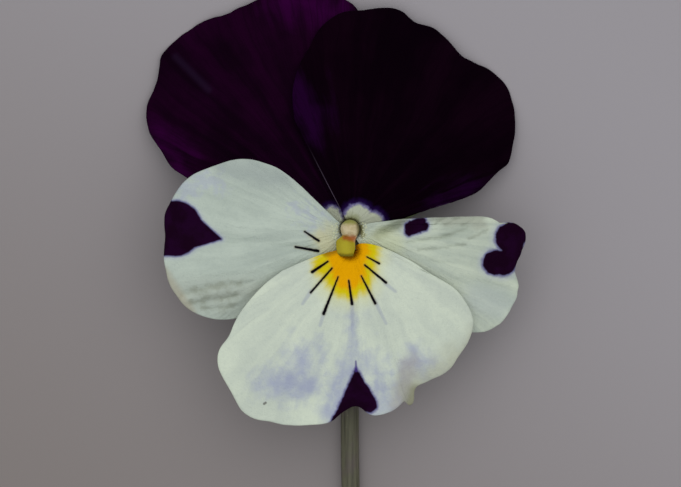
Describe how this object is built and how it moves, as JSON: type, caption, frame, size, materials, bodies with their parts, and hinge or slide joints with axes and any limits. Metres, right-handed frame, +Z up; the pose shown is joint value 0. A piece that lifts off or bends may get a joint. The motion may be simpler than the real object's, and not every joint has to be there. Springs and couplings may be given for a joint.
{
  "type": "viola flower",
  "caption": "Cut viola flower lying face up: dark purple upper petals, pale side and lower petals with a yellow eye, sepals, stamens, pistil and a hooked stem.",
  "frame": {"origin": "middle of the flower's box on the surface it lies on", "axes": "+Z up out of the face, -Y along the stem towards its cut end, +X to the flower's right as seen from above"},
  "size_m": [0.037, 0.0852, 0.0106],
  "materials": {
    "petal_purple": "matte",
    "petal_pale": "matte",
    "leaf_green": "satin",
    "stem_green": "satin",
    "pistil": "satin",
    "anther": "matte"
  },
  "bodies": {
    "root": {"petal_upper_left": "petal_purple", "petal_upper_right": "petal_purple", "petal_side_left": "petal_pale", "petal_side_right": "petal_pale", "petal_lower": "petal_pale", "sepal_1": "leaf_green", "sepal_2": "leaf_green", "sepal_3": "leaf_green", "sepal_4": "leaf_green", "sepal_5": "leaf_green", "stem": "stem_green", "bract_left": "leaf_green", "bract_right": "leaf_green", "pistil": "pistil", "stamen_1": "anther", "stamen_2": "anther", "stamen_3": "anther", "stamen_4": "anther", "stamen_5": "anther"}
  },
  "joints": []
}
